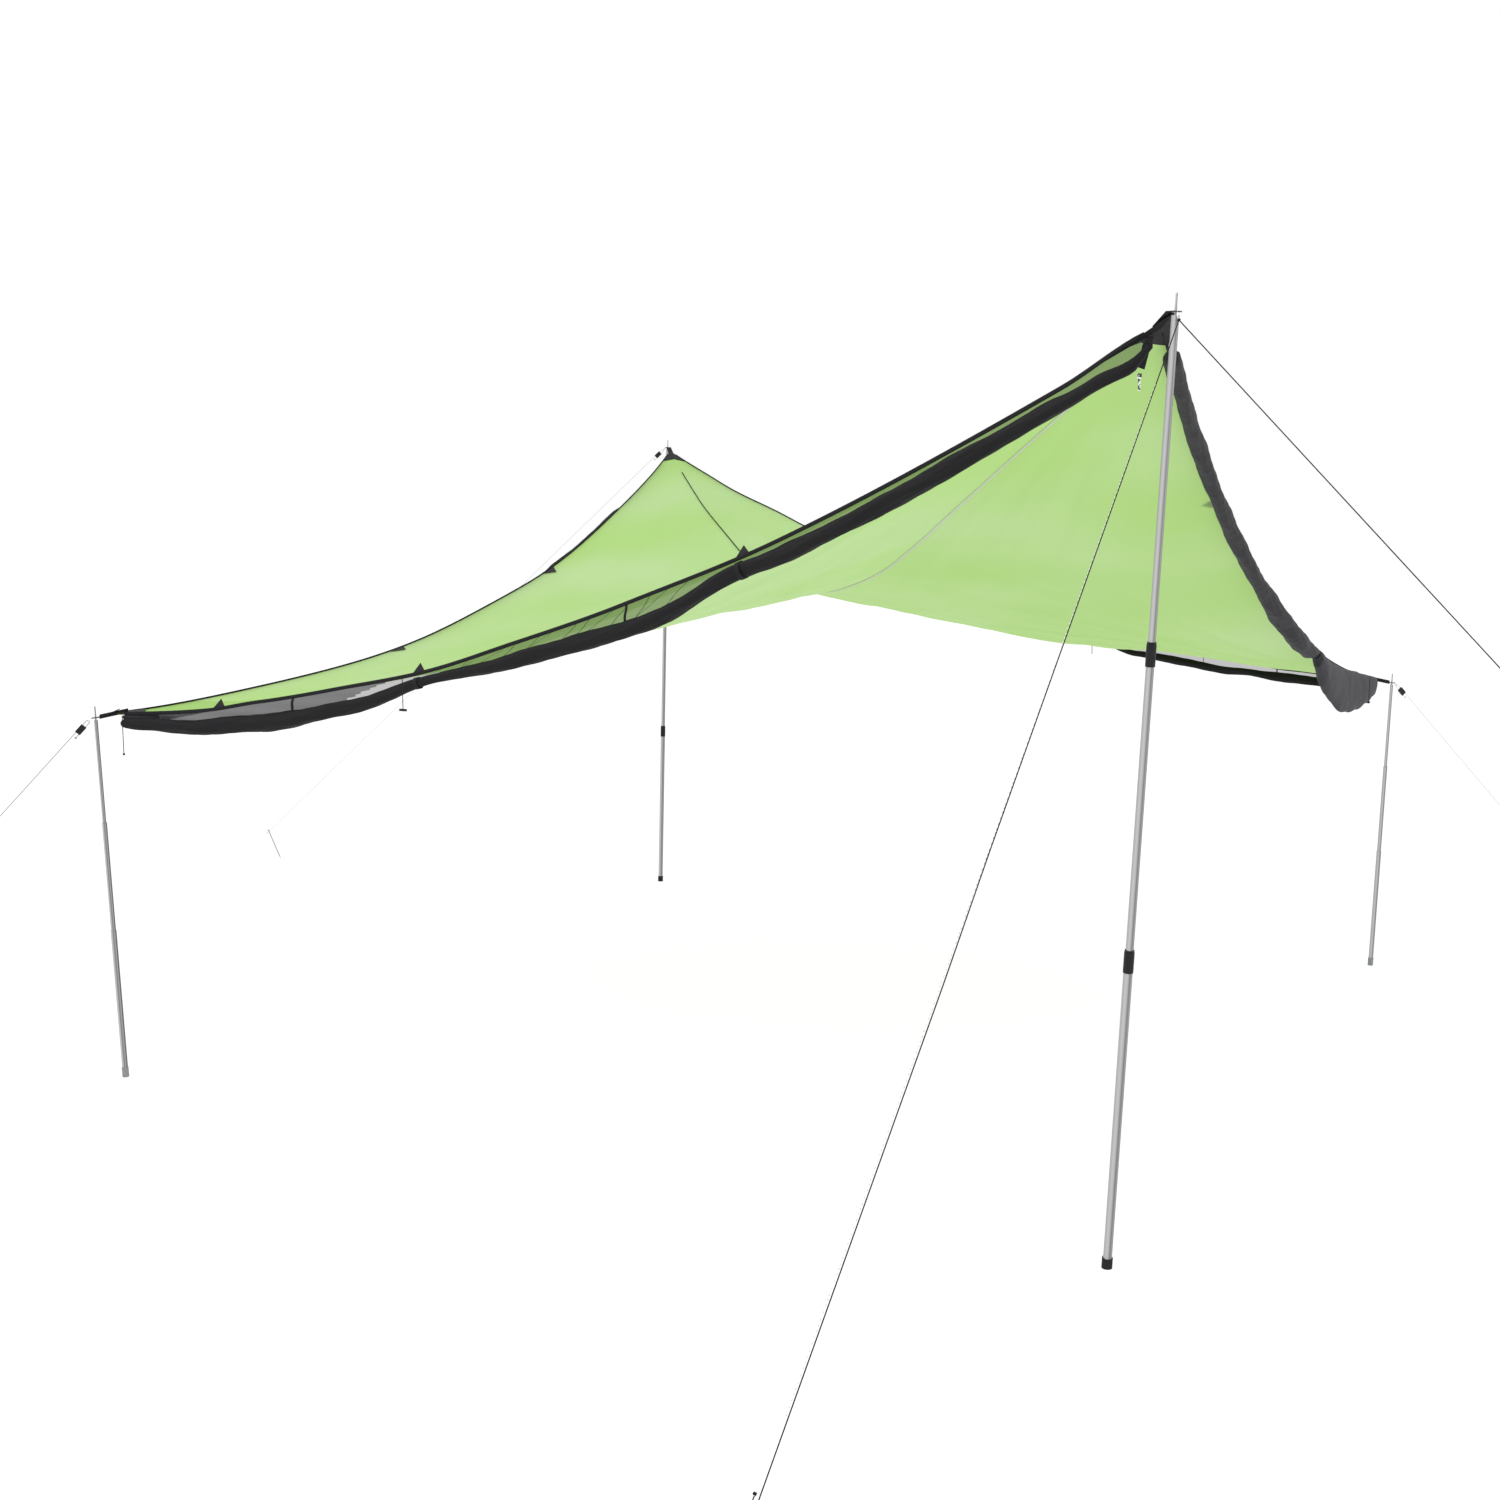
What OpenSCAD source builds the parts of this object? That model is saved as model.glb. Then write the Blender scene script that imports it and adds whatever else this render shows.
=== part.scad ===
// Tarp shelter: a square ridge tarp on four telescoping poles, with guylines and rolled net walls.
// Millimetres. The origin is on the ground under the middle of the ridge. +Y runs along the ridge
// to its rear end, +X to the right low corner and +Z up.

/* [Canopy] */
// Distance from the centre to the eyelet at each end of the ridge
ridge_half = 2584; // [1500:1:3500]
// Distance from the centre to the eyelet at each low corner
eave_half = 2553; // [1500:1:3500]
// Height of the eyelet at the front end of the ridge
front_height = 2305; // [1800:1:2800]
// Height of the eyelet at the rear end of the ridge
rear_height = 2319; // [1800:1:2800]
// Height of the eyelet at the left low corner
left_height = 1225; // [800:1:1600]
// Height of the eyelet at the right low corner
right_height = 1231; // [800:1:1600]
// Height of the crease along the ridge above the smooth surface
crease_lift = 195; // [0:5:300]
// Thickness of the cloth solid, upright
cloth_t = 2; // [1:0.5:6]

/* [Cloth corners] */
// Level distance from each eyelet in to its cloth corner
corner_in = 58; // [40:1:100]
// Drop from a ridge eyelet to its cloth corner
ridge_corner_drop = 22; // [0:1:60]
// Rise from a low eyelet to its cloth corner
eave_corner_rise = 12; // [0:1:40]
// Leg of the triangular reinforcement at each corner
patch_leg = 115; // [60:5:200]
// Width of the webbing tab at each corner
tab_w = 26; // [15:1:40]
// Thickness of the webbing tab
tab_t = 2.4; // [1:0.2:4]

/* [Hems and nets] */
// Height of the hem tape
hem_h = 12; // [8:1:25]
// Thickness of the hem tape
hem_t = 3.4; // [2:0.2:6]
// Size of the rolled net walls, as a part of the size they are drawn at
roll_size = 1; // [0.5:0.05:1.2]

/* [Long poles] */
// Length of a long pole from its foot to its eyelet
long_pole = 2320; // [1800:1:2800]
// Outer radius of the lowest section
long_base_r = 11; // [9:0.5:15]
// Outer radius of the middle section
long_mid_r = 9.5; // [8:0.5:13]
// Outer radius of the top section
long_top_r = 8.5; // [6:0.5:8.5]
// Height of the middle of the lower twist lock
lower_lock_z = 819; // [600:1:1000]
// Height of the middle of the upper twist lock
upper_lock_z = 1564; // [1300:1:1800]
// Length of a twist lock
lock_l = 57; // [40:1:90]
// Outer radius of a lower twist lock
lower_lock_r = 12.5; // [12:0.5:18]
// Outer radius of an upper twist lock
upper_lock_r = 11.5; // [11:0.5:18]

/* [Short poles] */
// Length of a short pole from its foot to its eyelet
short_pole = 1231; // [800:1:1600]
// Outer radius of the lowest section
short_base_r = 9.5; // [8:0.5:13]
// Outer radius of the middle section
short_mid_r = 8; // [6:0.5:11]
// Outer radius of the top section
short_top_r = 6; // [4:0.5:9]
// Height of the top end of the lowest section
short_base_top = 505; // [400:1:600]
// Height of the top end of the middle section
short_mid_top = 874; // [700:1:1000]

/* [Guylines] */
// Diameter of the cord
cord_d = 2.6; // [2:0.1:4]
// Spacing of the two strands that pass the line lock
strand_gap = 11.4; // [10:0.2:14]
// Distance of the line lock's middle from the guyline's turn
lock_at = 34; // [30:1:120]
// Length of a ground peg
peg_l = 180; // [120:5:300]
// Radius of a ground peg
peg_r = 3.5; // [2.5:0.25:6]
// Lean of a ground peg away from the shelter
peg_lean = 24; // [0:1:40]

/* [Hidden] */
$fn = 48;

// Every node, in the order in which it is drawn

// Colours
cloth_green = [0.73, 0.88, 0.60];
tape_grey = [0.80, 0.84, 0.78];
web_black = [0.10, 0.10, 0.11];
patch_grey = [0.22, 0.22, 0.24];
net_grey = [0.16, 0.16, 0.18];
cord_black = [0.12, 0.12, 0.13];
plastic_black = [0.08, 0.08, 0.09];
alloy = [0.80, 0.81, 0.83];
brass = [0.72, 0.72, 0.70];
peg_steel = [0.62, 0.63, 0.65];

// The four eyelets, where the poles' pins pass through
FRONT = [0, -ridge_half, front_height];
REAR = [0, ridge_half, rear_height];
LEFT = [-eave_half, 0, left_height];
RIGHT = [eave_half, 0, right_height];

// Where each pole's foot stands
FRONT_FOOT = [41, -2327, 0];
REAR_FOOT = [-57, 2576, 0];
LEFT_FOOT = [-2501, -115, 0];
RIGHT_FOOT = [2545, 38, 0];

// The four cloth corners
FRONT_CORNER = FRONT + [0, corner_in, -ridge_corner_drop];
REAR_CORNER = REAR + [0, -corner_in, -ridge_corner_drop];
LEFT_CORNER = LEFT + [corner_in, 0, eave_corner_rise];
RIGHT_CORNER = RIGHT + [-corner_in, 0, eave_corner_rise];

// Each hem's dip towards the centre, its sag and how far the sag leans to the low corner
FRONT_LEFT_CURVE = [220, 185, 45];
FRONT_RIGHT_CURVE = [160, 50, 120];
REAR_LEFT_CURVE = [220, 215, 20];
REAR_RIGHT_CURVE = [220, 235, 20];

// Where the hems stand above those curves: [place along the hem, height]
FRONT_LEFT_LIFT = [[0, 0], [0.02, 5], [0.07, -8], [0.3, -12], [0.45, 0], [0.56, 4], [0.65, -3], [0.76, 7],
    [0.84, 6], [0.9, -3], [1, 0]];
FRONT_RIGHT_LIFT = [[0, 0], [1, 0]];
REAR_LEFT_LIFT = [[0, 0], [0.2, 14], [0.38, 2], [0.5, 8], [0.64, 0], [0.84, 10], [1, 0]];
REAR_RIGHT_LIFT = [[0, 0], [0.1, 10], [0.22, 34], [0.4, 30], [0.55, 10], [0.66, -2], [0.7, 16],
    [0.78, 41], [0.84, 36], [0.9, 21], [1, 0]];

// The rolled nets: [place along the hem, middle outwards, middle down, half width, half height]
FRONT_LEFT_ROLL = [
    [0.006, 0, 34, 9, 9], [0.02, 0, 56, 16, 16], [0.05, 0, 42, 20, 20], [0.08, 0, 36, 23, 23],
    [0.2, 0, 43, 27, 27], [0.28, 0, 45, 27, 27], [0.335, 0, 36, 23, 23], [0.42, 0, 76, 28, 28],
    [0.56, 0, 54, 25, 25], [0.65, 0, 28, 16, 16], [0.74, 0, 65, 24, 24], [0.81, 0, 73, 31, 31],
    [0.9, 0, 57, 26, 26], [0.97, 0, 36, 23, 23], [0.99, 0, 32, 20, 20]
];
FRONT_RIGHT_ROLL = [
    [0.03, 14, 31, 21, 21], [0.2, 15, 31, 22, 22], [0.4, 18, 33, 24, 24], [0.5, 20, 34, 26, 26],
    [0.6, 22, 42, 33, 33], [0.66, 25, 48, 37, 37], [0.7, 24, 42, 31, 31], [0.74, 22, 30, 18, 18],
    [0.752, 25, 50, 22, 40], [0.765, 27, 76, 24, 62], [0.78, 27, 87, 24, 73],
    [0.8, 27, 92, 24, 79], [0.83, 27, 99, 24, 91], [0.86, 27, 90, 24, 88], [0.894, 27, 74, 24, 78],
    [0.926, 27, 54, 24, 62], [0.945, 27, 38, 22, 46], [0.958, 26, 12, 16, 20]
];
REAR_LEFT_ROLL = [
    [0.03, 0, 32, 15, 15], [0.15, 0, 34, 17, 17], [0.2, 20, 18, 17, 17], [0.36, 20, 17, 17, 17],
    [0.42, 0, 32, 15, 15], [0.665, 0, 34, 15, 15], [0.97, 0, 32, 15, 15]
];
REAR_RIGHT_ROLL = [
    [0.03, 0, 32, 15, 15], [0.14, 2, 33, 15, 15], [0.22, 22, 18, 15, 15], [0.28, 26, 2, 15, 15],
    [0.335, 24, -20, 17, 17], [0.66, 20, -20, 16, 16]
];
REAR_RIGHT_LOOSE_ROLL = [[0.695, 0, 20, 9, 9], [0.72, 0, 28, 13, 13], [0.78, 0, 48, 20, 20],
    [0.82, 0, 51, 17, 17], [0.86, 0, 42, 15, 15], [0.9, 0, 37, 20, 20], [0.97, 0, 34, 18, 18]];

// Ground pegs, at the middle of each peg's cord
PEG_FRONT_RIGHT = [1628, -3658, 158];
PEG_FRONT_LEFT = [-1188, -3381, 158];
PEG_REAR_LEFT = [-2120, 3808, 158];
PEG_LEFT = [-3536, 0, 158];
PEG_RIGHT = [3660, 0, 158];

// Steps along the cloth and along a hem
cloth_steps = 24;
hem_steps = 36;
roll_sides = 12;
fit_gap = 0.3;

// ---- vectors ----
function unit(v) = v / norm(v);
function level(v) = unit([v[0], v[1], 0]);
function blend(a, b, t) = a + t * (b - a);
function swell(t) = 4 * t * (1 - t);

// A row of values between the rows of a table, joined by smooth steps
function row_at(table, t, i = 0) =
    i < len(table) - 2 && t > table[i + 1][0] ? row_at(table, t, i + 1) : i;
function smooth_row(table, t) =
    let (i = row_at(table, t),
         f = (t - table[i][0]) / (table[i + 1][0] - table[i][0]))
    blend(table[i], table[i + 1], (1 - cos(180 * max(0, min(1, f)))) / 2);

// ---- the canopy's surface ----
// A point on the hem from its ridge corner to its low corner
function hem_point(high, low, curve, lift, t) =
    blend(high, low, t) - curve[0] * swell(t) * level(high + low)
    + [0, 0, smooth_row(lift, t)[1] - swell(t) * (curve[1] + curve[2] * (2 * t - 1))];
function front_right_hem(t) = hem_point(FRONT_CORNER, RIGHT_CORNER, FRONT_RIGHT_CURVE, FRONT_RIGHT_LIFT, t);
function front_left_hem(t) = hem_point(FRONT_CORNER, LEFT_CORNER, FRONT_LEFT_CURVE, FRONT_LEFT_LIFT, t);
function rear_left_hem(t) = hem_point(REAR_CORNER, LEFT_CORNER, REAR_LEFT_CURVE, REAR_LEFT_LIFT, t);
function rear_right_hem(t) = hem_point(REAR_CORNER, RIGHT_CORNER, REAR_RIGHT_CURVE, REAR_RIGHT_LIFT, t);

// A point on the canopy: u runs from the front corner to the right one, v to the left one
function four_corners(u, v) =
    (1 - u) * (1 - v) * FRONT_CORNER + u * (1 - v) * RIGHT_CORNER
    + (1 - u) * v * LEFT_CORNER + u * v * REAR_CORNER;
function smooth_point(u, v) =
    (1 - v) * front_right_hem(u) + v * rear_left_hem(1 - u)
    + (1 - u) * front_left_hem(v) + u * rear_right_hem(1 - v) - four_corners(u, v);
function canopy_point(u, v) =
    smooth_point(u, v) + [0, 0, crease_lift * 4 * min(u, v) * (1 - max(u, v))];

// ---- solids made from rings and grids of points ----
// The way a ring of points turns, as a vector along the axis it turns about
function middle(ring) = [for (p = ring) 1] * ring / len(ring);
function turn_axis(ring) =
    let (c = middle(ring), n = len(ring))
    [for (k = [0:n - 1]) 1] * [for (k = [0:n - 1]) cross(ring[k] - c, ring[(k + 1) % n] - c)];

// A solid through rings of points that all have the same number of points. Its two end faces are
// the polygons in caps, each a list of places in a ring. Its side panels are split along one
// diagonal up to the place turn of a ring, and along the other one after it.
module ring_solid(rings, caps, turn) {
    n = len(rings[0]);
    last = len(rings) - 1;
    split_at = is_undef(turn) ? n : turn;
    sides = [for (i = [0:last - 1], k = [0:n - 1])
        let (a = i * n + k, b = i * n + (k + 1) % n, c = b + n, d = a + n)
        each k < split_at ? [[a, b, c], [a, c, d]] : [[a, b, d], [b, c, d]]];
    end_faces = is_undef(caps) ? [[for (k = [0:n - 1]) k]] : caps;
    start_cap = [for (f = end_faces) [for (k = [len(f) - 1:-1:0]) f[k]]];
    end_cap = [for (f = end_faces) [for (k = f) last * n + k]];
    faces = concat(sides, start_cap, end_cap);
    inside_out = turn_axis(rings[0]) * (middle(rings[1]) - middle(rings[0])) > 0;
    turned = [for (f = faces) [for (k = [len(f) - 1:-1:0]) f[k]]];
    polyhedron([for (r = rings) each r], inside_out ? turned : faces, convexity = 6);
}

// A thin solid between a grid of points and the same grid moved by a shift
module sheet_solid(grid, low, high) {
    rows = len(grid);
    cols = len(grid[0]);
    strip = [for (i = [0:rows - 1]) concat(
        [for (j = [0:cols - 1]) grid[i][j] + low],
        [for (j = [cols - 1:-1:0]) grid[i][j] + high])];
    ring_solid(strip, [for (j = [0:cols - 2]) [j, j + 1, 2 * cols - 2 - j, 2 * cols - 1 - j]], cols);
}

// Points round a circle across a line, in the plane of two directions
function circle_ring(centre, r, side, up, n) =
    [for (k = [0:n - 1]) centre + r * (cos(360 * k / n) * side + sin(360 * k / n) * up)];

// A round tube along points that all lie in one upright plane with the given normal
function tangent(points, i) =
    unit(points[min(i + 1, len(points) - 1)] - points[max(i - 1, 0)]);
module flat_tube(points, r, normal, n) {
    ring_solid([for (i = [0:len(points) - 1])
        circle_ring(points[i], r, normal, cross(tangent(points, i), normal), n)]);
}

// ---- canopy ----
module canopy() {
    color(cloth_green) sheet_solid(
        [for (i = [0:cloth_steps]) [for (j = [0:cloth_steps])
            canopy_point(i / cloth_steps, j / cloth_steps)]],
        [0, 0, -cloth_t / 2], [0, 0, cloth_t / 2]);
}

// The seam cord that stands on the ridge outside
module ridge_piping() {
    piping_r = 2;
    lift = cloth_t / 2 + piping_r + fit_gap;
    color(web_black) flat_tube(
        [for (i = [1:cloth_steps - 1])
            canopy_point(i / cloth_steps, i / cloth_steps) + [0, 0, lift]],
        piping_r, [1, 0, 0], 8);
}

// The seam tape along the ridge inside
module ridge_tape() {
    half_w = 0.0022;
    color(tape_grey) sheet_solid(
        [for (i = [1:cloth_steps - 1]) [for (a = [-1:1])
            canopy_point(i / cloth_steps + a * half_w, i / cloth_steps - a * half_w)]],
        [0, 0, -cloth_t / 2 - fit_gap - 1], [0, 0, -cloth_t / 2 - fit_gap]);
}

// ---- hems ----
// One stretch of the hem tape: a flat band that the cloth's edge is sewn into
function hem_ring(p, side) = [
    p + hem_t / 2 * side + [0, 0, -hem_h / 2], p + hem_t / 2 * side + [0, 0, hem_h / 2],
    p - hem_t / 2 * side + [0, 0, hem_h / 2], p - hem_t / 2 * side + [0, 0, -hem_h / 2]];

module edge_hem() {
    ends = 0.012;
    steps = [for (i = [0:hem_steps]) ends + (1 - 2 * ends) * i / hem_steps];
    color(web_black) {
        ring_solid([for (t = steps) hem_ring(front_left_hem(t), level(FRONT + LEFT))]);
        ring_solid([for (t = steps) hem_ring(front_right_hem(t), -level(FRONT + RIGHT))]);
        ring_solid([for (t = steps) hem_ring(rear_left_hem(t), -level(REAR + LEFT))]);
        ring_solid([for (t = steps) hem_ring(rear_right_hem(t), level(REAR + RIGHT))]);
    }
}

// ---- corners ----
// A triangle of cloth from a corner, whose two legs run along the hems
function corner_uv(i, a, b) =
    let (s = patch_leg / 3700, p = s * a * (1 - b) + 0.002, q = s * a * b + 0.002)
    i == 0 ? [p, q] : i == 1 ? [1 - p, q] : i == 2 ? [1 - p, 1 - q] : [p, 1 - q];
function patch_grid(i) = [for (a = [0.08, 0.5, 1]) [for (b = [0, 0.5, 1])
    let (c = corner_uv(i, a, b)) canopy_point(c[0], c[1])]];

module corner_patches() {
    patch_t = 1.2;
    start = cloth_t / 2 + fit_gap;
    color(patch_grey) for (i = [0:3]) {
        sheet_solid(patch_grid(i), [0, 0, start], [0, 0, start + patch_t]);
        sheet_solid(patch_grid(i), [0, 0, -start - patch_t], [0, 0, -start]);
    }
}

// Turns a part about the eyelet so that its own Z runs up the pole and its own X points outwards
module at_eyelet(eyelet, foot) {
    along = unit(eyelet - foot);
    out = level(eyelet);
    translate(eyelet)
        rotate([0, 0, atan2(out[1], out[0])])
            rotate([0, acos(along[2]) * sign(along * out), 0])
                children();
}

// A webbing tab with an eyelet hole, and its tail that is sewn on the cloth corner
module corner_tab(drop) {
    flat = 20;
    hole_r = 6;
    slope = atan2(drop, corner_in - flat);
    tail = 62;
    difference() {
        union() {
            translate([-flat, -tab_w / 2, -tab_t / 2]) cube([flat, tab_w, tab_t]);
            cylinder(r = tab_w / 2 + 0.6, h = tab_t, center = true);
        }
        cylinder(r = hole_r, h = 3 * tab_t, center = true);
    }
    translate([-flat, 0, 0]) rotate([0, -slope, 0])
        translate([-tail, -tab_w / 2 + 0.5, -tab_t / 2 + 0.1]) cube([tail + 1, tab_w - 1, tab_t - 0.2]);
}

module corner_tabs() {
    color(web_black) {
        at_eyelet(FRONT, FRONT_FOOT) corner_tab(ridge_corner_drop);
        at_eyelet(REAR, REAR_FOOT) corner_tab(ridge_corner_drop);
        at_eyelet(LEFT, LEFT_FOOT) corner_tab(-eave_corner_rise);
        at_eyelet(RIGHT, RIGHT_FOOT) corner_tab(-eave_corner_rise);
    }
}

// A pressed eyelet ring that lines the tab's hole
module grommet() {
    rotate_extrude() polygon([[4.4, -2], [8.6, -2], [8.6, -1.3], [6, -1.3],
        [6, 1.3], [8.6, 1.3], [8.6, 2], [4.4, 2]]);
}

module grommets() {
    color(brass) {
        at_eyelet(FRONT, FRONT_FOOT) grommet();
        at_eyelet(REAR, REAR_FOOT) grommet();
        at_eyelet(LEFT, LEFT_FOOT) grommet();
        at_eyelet(RIGHT, RIGHT_FOOT) grommet();
    }
}

// ---- tie-out patches on the outside of the cloth, with the point inwards ----
function hem_uv(side, t, w) =
    side == 0 ? [w, t] : side == 1 ? [t, w] : side == 2 ? [1 - t, 1 - w] : [1 - w, 1 - t];
module tie_out_patch(side, t) {
    depth = 0.014;
    half_w = 0.011;
    patch_t = 1.2;
    start = cloth_t / 2 + fit_gap;
    grid = [for (a = [0, 0.5, 0.94]) [for (b = [-1, 0, 1])
        let (c = hem_uv(side, t + b * half_w * (1 - a), 0.002 + a * depth))
        canopy_point(c[0], c[1])]];
    sheet_solid(grid, [0, 0, start], [0, 0, start + patch_t]);
}

// Places of the tie-outs along each hem, as parts of its length from the ridge corner
TIE_OUTS = [[0.335, 0.665, 0.885], [0.335, 0.665], [0.383, 0.665], [0.335, 0.665]];

module tie_out_patches() {
    color(patch_grey) for (side = [0:3], t = TIE_OUTS[side]) tie_out_patch(side, t);
}

// ---- net walls, rolled up under the hems ----
function side_hem(side, t) =
    side == 0 ? front_left_hem(t) : side == 1 ? front_right_hem(t)
    : side == 2 ? rear_left_hem(t) : rear_right_hem(t);
function side_inward(side) =
    -level(side == 0 ? FRONT + LEFT : side == 1 ? FRONT + RIGHT
        : side == 2 ? REAR + LEFT : REAR + RIGHT);
// Where a roll is at a place along its hem: its middle, its half width and its half height
function roll_middle(side, t, row) =
    side_hem(side, t) - row[1] * side_inward(side) - [0, 0, row[2]];
// The net's outline across the hem: a thin curtain from the hem to the roll
function net_ring(side, t, row) =
    let (inward = side_inward(side),
        below = row[2] > 0,
        curtain = 1.2,
        edge = side_hem(side, t) - (below ? 0 : hem_t / 2 + fit_gap + curtain) * inward
            - [0, 0, below ? hem_h / 2 + fit_gap : 0],
        mid = roll_middle(side, t, row),
        w = row[3] * roll_size,
        h = row[4] * roll_size,
        to_edge = edge - mid,
        towards = atan2(to_edge[2] / h, to_edge * inward / w),
        gap = 12,
        across = curtain * unit(cross(cross(inward, [0, 0, 1]), to_edge)))
    concat([edge + across],
        [for (k = [0:roll_sides - 1])
            let (a = towards + gap + (360 - 2 * gap) * k / (roll_sides - 1))
            mid + w * cos(a) * inward + [0, 0, h * sin(a)]],
        [edge - across]);

module net_wall(side, table, steps) {
    from = table[0][0];
    to = table[len(table) - 1][0];
    color(net_grey) ring_solid([for (i = [0:steps])
        let (t = blend(from, to, i / steps))
        net_ring(side, t, smooth_row(table, t))]);
}

// A strap loop round the roll at each tie
module roll_tie(side, t, table) {
    row = smooth_row(table, t);
    along = unit(side_hem(side, t + 0.01) - side_hem(side, t - 0.01));
    r = max(row[3], row[4]) * roll_size;
    translate(roll_middle(side, t, row))
        rotate([0, acos(along[2]), atan2(along[1], along[0])])
            difference() {
                cylinder(r = r + 2.2, h = 16, center = true);
                cylinder(r = r + 0.5, h = 20, center = true);
            }
}

module roll_ties() {
    tail_l = 48;
    color(web_black) {
        for (t = [0.335, 0.665]) roll_tie(0, t, FRONT_LEFT_ROLL);
        roll_tie(1, 0.738, FRONT_RIGHT_ROLL);
        for (t = [0.383, 0.665]) roll_tie(2, t, REAR_LEFT_ROLL);
        for (t = [0.335, 0.648]) roll_tie(3, t, REAR_RIGHT_ROLL);
        translate(rear_right_hem(0.665) - [0, 0, hem_h / 2 + tail_l]) cylinder(r = 1.5, h = tail_l);
    }
}

// The webbing strap that hangs from the front ridge corner inside
module door_strap() {
    strap_l = 74;
    strap_w = 20;
    strap_t = 1.6;
    color(web_black) translate([4, -2465, 2268]) rotate([0, 15, 0])
        translate([-strap_w / 2, -strap_t / 2, -strap_l]) cube([strap_w, strap_t, strap_l]);
}

// A barrel toggle on an upright cord, beside the hem
module toggle(side, t, hang, beside) {
    p = side_hem(side, t) - [0, 0, hang];
    out = -side_inward(side);
    translate(p + beside * out)
        rotate([0, 0, atan2(out[1], out[0])]) {
            rotate([90, 0, 0]) cylinder(r = 4, h = 26, center = true);
            translate([0, 0, 3]) cylinder(r = 1.3, h = hang - hem_h / 2 - 4);
        }
}

// A bead on an upright cord under the hem
module bead(side, t, hang) {
    translate(side_hem(side, t) - [0, 0, hang]) {
        sphere(r = 4, $fn = 24);
        translate([0, 0, 3]) cylinder(r = 1.3, h = hang - hem_h / 2 - 4);
    }
}

// ---- zip slider of the front left net, hanging at the front ridge corner ----
ZIP = [-30, -2488, 2170];
module zip_slider() {
    color(alloy) translate(ZIP) {
        translate([-4, -3, 0]) cube([8, 6, 12]);
        translate([-2.5, -1, -26]) cube([5, 2, 26]);
    }
}

// ---- guylines ----
// A guyline turns back round a ring or a peg, and both strands pass its line lock next to the
// turn. It is [middle of the turn, far end, whether the strands stand one above the other].
FRONT_KNOT = FRONT + [0, -15, -20];
ring_reach = 20;
ring_out = 12.5;
function ring_centre(eyelet, peg) =
    eyelet + ring_out * level(peg - eyelet) + ring_reach * unit(peg - eyelet);
FRONT_RIGHT_GUY = [PEG_FRONT_RIGHT, FRONT_KNOT, false];
FRONT_LEFT_GUY = [PEG_FRONT_LEFT, FRONT_KNOT, false];
REAR_LEFT_GUY = [ring_centre(REAR, PEG_REAR_LEFT), PEG_REAR_LEFT, true];
LEFT_GUY = [ring_centre(LEFT, PEG_LEFT), PEG_LEFT, true];
RIGHT_GUY = [ring_centre(RIGHT, PEG_RIGHT), PEG_RIGHT, true];
RING_GUYS = [REAR_LEFT_GUY, LEFT_GUY, RIGHT_GUY];
LOOP_GUYS = [FRONT_RIGHT_GUY, FRONT_LEFT_GUY];

function guy_dir(g) = unit(g[1] - g[0]);
function guy_level(g) = cross(level(guy_dir(g)), [0, 0, 1]);
// The direction from one strand to the other, and the one across both
function guy_spread(g) = g[2] ? cross(guy_level(g), guy_dir(g)) : guy_level(g);
function guy_across(g) = cross(guy_spread(g), guy_dir(g));

// The free strand ends in its stopper knot, this far from the turn
free_end = lock_at + 29;
// How far a guyline reaches through its peg
through_peg = 12;

// The cord: from its stopper knot through the line lock, round the turn and to the far end
function guy_route(g) =
    let (c = g[0],
        d = guy_dir(g),
        w = guy_spread(g),
        r = strand_gap / 2,
        reach = norm(g[1] - c))
    concat(
        [for (s = [free_end, free_end / 2, 8]) c + s * d - r * w],
        [for (a = [110:20:250]) c + r * (cos(a) * d - sin(a) * w)],
        [for (s = [8, 60, 200, 400, 700, 1000]) c + s * d + r * w],
        [for (f = [0.5, 0.7, 0.85, 1]) if (f * reach > 1100 || f == 1)
            blend(c, g[1], f) + r * (1 - f) * w],
        g[2] ? [g[1] + through_peg * d] : []);

module guy(g) {
    color(cord_black) flat_tube(guy_route(g), cord_d / 2, guy_across(g), 8);
}

// Turns a part so that its own X runs along the guyline and its own Z from strand to strand
module on_guy(g, s) {
    x = guy_dir(g);
    z = guy_spread(g);
    y = cross(z, x);
    o = g[0] + s * x;
    multmatrix([[x[0], y[0], z[0], o[0]], [x[1], y[1], z[1], o[1]], [x[2], y[2], z[2], o[2]]])
        children();
}

// The plastic ring that the guyline is looped through
module guy_ring() {
    ring_r = 8;
    ring_wire_r = 1.5;
    cord_gap = 0.1;
    translate([-ring_r - strand_gap / 2 + cord_d / 2 + ring_wire_r + cord_gap, 0, 0])
        rotate_extrude() translate([ring_r, 0]) circle(r = ring_wire_r, $fn = 24);
}

// A line lock: a plastic body that both strands run through
module line_lock() {
    body_l = 34;
    body_w = 9;
    body_h = 20;
    color(plastic_black) difference() {
        union() {
            cube([body_l - body_w, body_w, body_h], center = true);
            for (x = [-1, 1]) translate([x * (body_l - body_w) / 2, 0, 0])
                cylinder(r = body_w / 2, h = body_h, center = true);
        }
        for (z = [-1, 1]) translate([0, 0, z * strand_gap / 2])
            rotate([0, 90, 0]) cylinder(r = cord_d / 2 + 0.5, h = body_l + 2, center = true);
    }
}

module guy_rings() {
    color(tape_grey) for (g = RING_GUYS) on_guy(g, 0) guy_ring();
}

// The stopper knots, the knot both front guylines start from and its loop through the front tab
module guy_knots() {
    knot_r = 4;
    $fn = 24;
    color(cord_black) {
        for (g = concat(RING_GUYS, LOOP_GUYS))
            on_guy(g, free_end) translate([knot_r - 0.6, 0, -strand_gap / 2]) sphere(r = knot_r);
        for (g = RING_GUYS) translate(g[1] + (through_peg + 3) * guy_dir(g)) sphere(r = knot_r);
        translate(FRONT_KNOT) sphere(r = knot_r + 0.2);
        translate(FRONT_KNOT) rotate([-13, 0, 0]) cylinder(r = cord_d / 2, h = 19.5);
    }
}

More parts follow.
